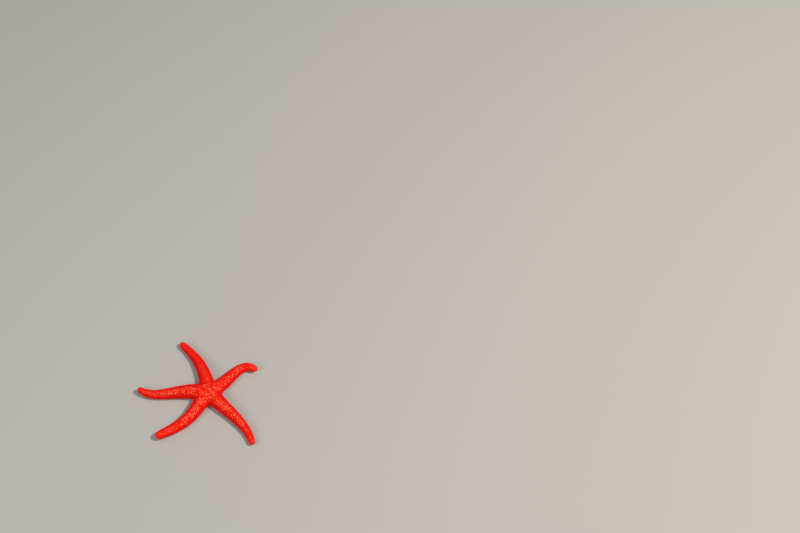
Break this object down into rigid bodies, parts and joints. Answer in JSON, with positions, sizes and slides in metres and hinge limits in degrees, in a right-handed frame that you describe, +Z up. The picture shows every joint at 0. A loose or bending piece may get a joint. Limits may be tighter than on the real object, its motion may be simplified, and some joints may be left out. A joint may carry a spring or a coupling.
{
  "type": "sea star",
  "caption": "Life-size model of a red sea star lying with its slender arms spread and their tips slightly raised.",
  "frame": {"origin": "on the floor under the middle of the body's plan box; the mouth lies about 13 mm along +X from it, because the arms differ in length", "axes": "+Z up out of the back of the animal, +X to its right-hand arm and +Y to its back arm as the pictured view shows them"},
  "size_m": [0.1508, 0.143, 0.0153],
  "materials": {
    "skin": "satin",
    "sieve_plate": "satin",
    "eyespot": "gloss",
    "spines": "gloss",
    "tube_feet": "satin"
  },
  "bodies": {
    "root": {"disc": "skin", "madreporite": "sieve_plate", "arm_right_base": "skin", "arm_right_middle": "skin", "arm_right_end": "skin", "arm_back_base": "skin", "arm_back_middle": "skin", "arm_back_end": "skin", "arm_left_base": "skin", "arm_left_middle": "skin", "arm_left_end": "skin", "arm_front_left_base": "skin", "arm_front_left_middle": "skin", "arm_front_left_end": "skin", "arm_front_right_base": "skin", "arm_front_right_middle": "skin", "arm_front_right_end": "skin", "eyespot_right": "eyespot", "eyespot_back": "eyespot", "eyespot_left": "eyespot", "eyespot_front_left": "eyespot", "eyespot_front_right": "eyespot"}
  },
  "joints": []
}
